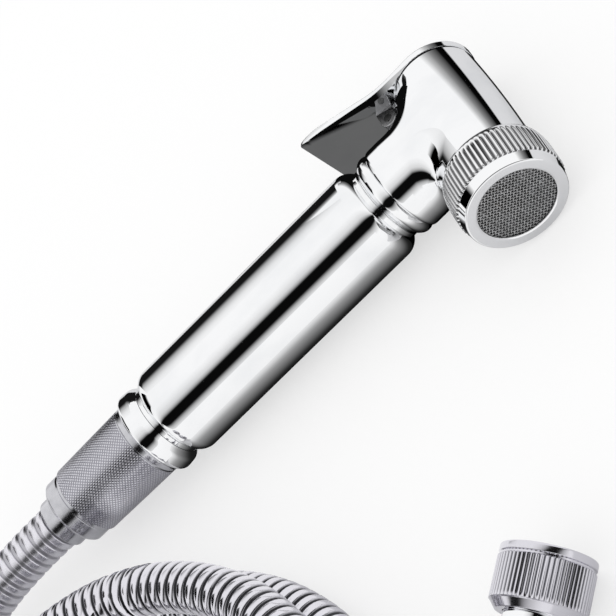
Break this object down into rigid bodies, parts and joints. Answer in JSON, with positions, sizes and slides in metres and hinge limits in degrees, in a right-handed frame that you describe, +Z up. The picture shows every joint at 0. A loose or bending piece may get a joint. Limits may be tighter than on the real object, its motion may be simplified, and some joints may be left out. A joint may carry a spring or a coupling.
{
  "type": "handheld bath sprayer",
  "caption": "Chromed handheld sprayer head with a rear thumb lever, a fluted ring round a mesh face and a cylinder grip, on a ribbed hose coiled flat with a threaded end nut.",
  "frame": {"origin": "on the surface that the sprayer lies on, below the middle of the handset's box, which is measured without the hose", "axes": "+X along the grip towards the head, -Y where the spray leaves, +Z up from the surface that it lies on"},
  "size_m": [0.2919, 0.2355, 0.031],
  "materials": {
    "chrome": "mirror polished plating",
    "satin_metal": "satin plating, cross-cut grip",
    "mesh_metal": "woven wire",
    "plain_steel": "plain",
    "brass": "machined",
    "seal_rubber": "matt",
    "tube_plastic": "plain",
    "hose_winding": "satin ribbed winding",
    "strap_plastic": "matt"
  },
  "bodies": {
    "handset": {"head_body": "chrome", "neck_collar": "chrome", "grip_sleeve": "chrome", "inlet_collar": "chrome", "water_tube": "tube_plastic", "upper_o_ring": "seal_rubber", "lower_o_ring": "seal_rubber", "spray_mesh": "mesh_metal", "mesh_support": "mesh_metal", "face_gasket": "seal_rubber", "hinge_pin": "plain_steel", "valve_seat": "brass", "valve_spring": "plain_steel", "gland_nut": "brass", "stem_o_ring": "seal_rubber", "hose_washer": "seal_rubber", "hose_nipple": "brass", "hose_ferrule": "chrome", "hose_run": "hose_winding", "hose_coil": "hose_winding", "coil_tie": "strap_plastic", "hose_tail": "hose_winding", "end_ferrule": "chrome", "end_nipple": "brass", "end_washer": "seal_rubber"},
    "lever": {"lever": "chrome", "stem_pin": "plain_steel"},
    "stem": {"valve_stem": "brass", "valve_disc": "brass", "valve_washer": "seal_rubber", "washer_screw": "plain_steel"},
    "ring": {"retaining_ring": "chrome"},
    "hose_nut": {"hose_nut": "satin_metal"},
    "end_nut": {"end_nut": "chrome"}
  },
  "joints": [
    {"name": "lever_hinge", "type": "hinge", "parent": "handset", "child": "lever", "pos_m": [0.05955, 0.01846, 0.0155], "axis": [0, 0, 1], "range_deg": [0, 12], "stiffness_Nm_per_rad": 0.4, "springref_deg": -17.19},
    {"name": "stem_slide", "type": "slide", "parent": "handset", "child": "stem", "axis": [0, 1, 0], "range_m": [0, 0.0033], "deforming": ["valve_spring"]},
    {"name": "ring_turn", "type": "hinge", "parent": "handset", "child": "ring", "pos_m": [0.07455, -0.01834, 0.0155], "axis": [0, -1, 0], "continuous": true},
    {"name": "hose_nut_turn", "type": "hinge", "parent": "handset", "child": "hose_nut", "pos_m": [-0.06545, 0.00166, 0.0155], "axis": [1, 0, 0], "continuous": true},
    {"name": "end_nut_turn", "type": "hinge", "parent": "handset", "child": "end_nut", "pos_m": [0.02669, -0.12369, 0.012], "axis": [0.7071, 0.7071, 0], "continuous": true}
  ],
  "couplings": [
    {"joint": "stem_slide", "follows": "lever_hinge", "m_per_rad": 0.0149}
  ]
}
